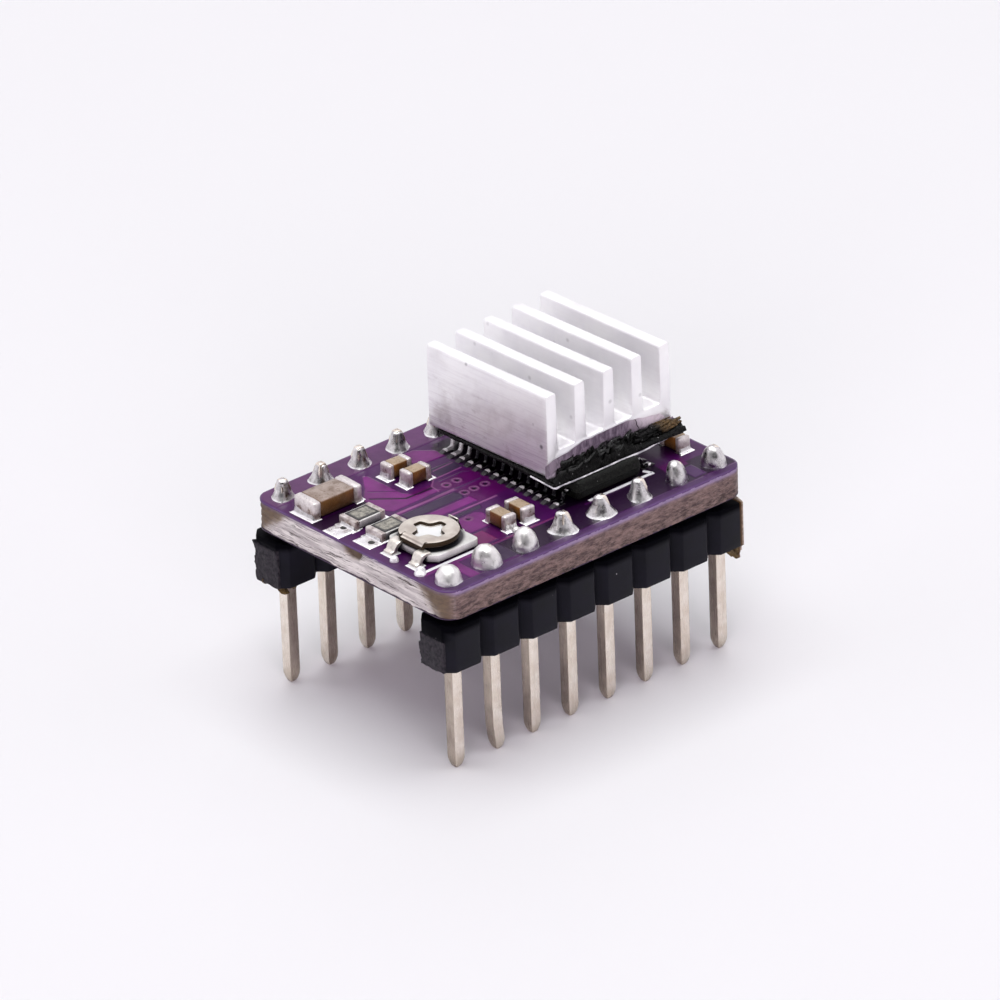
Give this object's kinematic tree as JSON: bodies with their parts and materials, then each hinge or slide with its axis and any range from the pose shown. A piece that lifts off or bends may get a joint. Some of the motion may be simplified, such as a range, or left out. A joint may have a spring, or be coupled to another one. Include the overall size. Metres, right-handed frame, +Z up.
{
  "type": "stepper driver module",
  "caption": "Plug-in carrier board for a stepper motor driver chip, with header pins, a finned stick-on heat sink and a current trimmer that turns.",
  "frame": {"origin": "middle of the two-row pin pattern, on the plane where the undersides of the header plastics sit down on the sockets", "axes": "+X along the pin rows, from the trimmer end to the heat sink end; +Z up, away from the pin tips, square to the board; +Y across the rows"},
  "size_m": [0.0204, 0.0152, 0.0164],
  "materials": {
    "laminate": "glass fibre laminate, rough where snapped",
    "solder_mask": "purple lacquer over copper",
    "copper": "tinned copper foil",
    "legend_ink": "white ink",
    "header_plastic": "black moulded plastic with a faint sheen",
    "pin_metal": "plated, pale champagne",
    "solder": "bright solder",
    "mould_compound": "black epoxy",
    "lead_metal": "tin plated",
    "lead_frame": "copper",
    "silicon": "polished",
    "bond_wire": "fine bright wire",
    "tape": "black heat-conducting adhesive",
    "heatsink_alu": "extruded and sawn, satin",
    "cap_ceramic": "tan ceramic",
    "end_metal": "tin plated",
    "alumina": "white ceramic",
    "resistor_glaze": "dark glass overcoat",
    "track": "printed resistive ink",
    "rotor_metal": "stamped, plated",
    "wiper_metal": "spring metal"
  },
  "bodies": {
    "module": {"board_core": "laminate", "copper_top": "copper", "copper_bottom": "copper", "plated_holes": "copper", "mask_top": "solder_mask", "mask_bottom": "solder_mask", "legend_top": "legend_ink", "header_plastic_front": "header_plastic", "header_plastic_rear": "header_plastic", "pins_front": "pin_metal", "pins_rear": "pin_metal", "pin_solder_front": "solder", "pin_solder_rear": "solder", "chip_body": "mould_compound", "chip_leads": "lead_metal", "chip_paddle": "lead_frame", "chip_die": "silicon", "chip_die_bond": "solder", "chip_wires": "bond_wire", "chip_solder": "solder", "thermal_tape": "tape", "heatsink": "heatsink_alu", "cap_bulk_body": "cap_ceramic", "cap_bulk_ends": "end_metal", "cap_small_bodies": "cap_ceramic", "cap_small_ends": "end_metal", "resistor_bodies": "alumina", "resistor_films": "resistor_glaze", "resistor_ends": "end_metal", "part_solder": "solder", "trim_base": "alumina", "trim_track": "track", "trim_rivet": "rotor_metal", "trim_end_straps": "end_metal", "trim_wiper_strap": "end_metal"},
    "trimmer_rotor": {"trim_rotor": "rotor_metal", "trim_wiper": "wiper_metal"}
  },
  "joints": [
    {"name": "trimmer_turn", "type": "hinge", "parent": "module", "child": "trimmer_rotor", "pos_m": [-0.0071, -0.00285, 0.0051], "axis": [0, 0, 1], "range_deg": [-115, 115]}
  ]
}
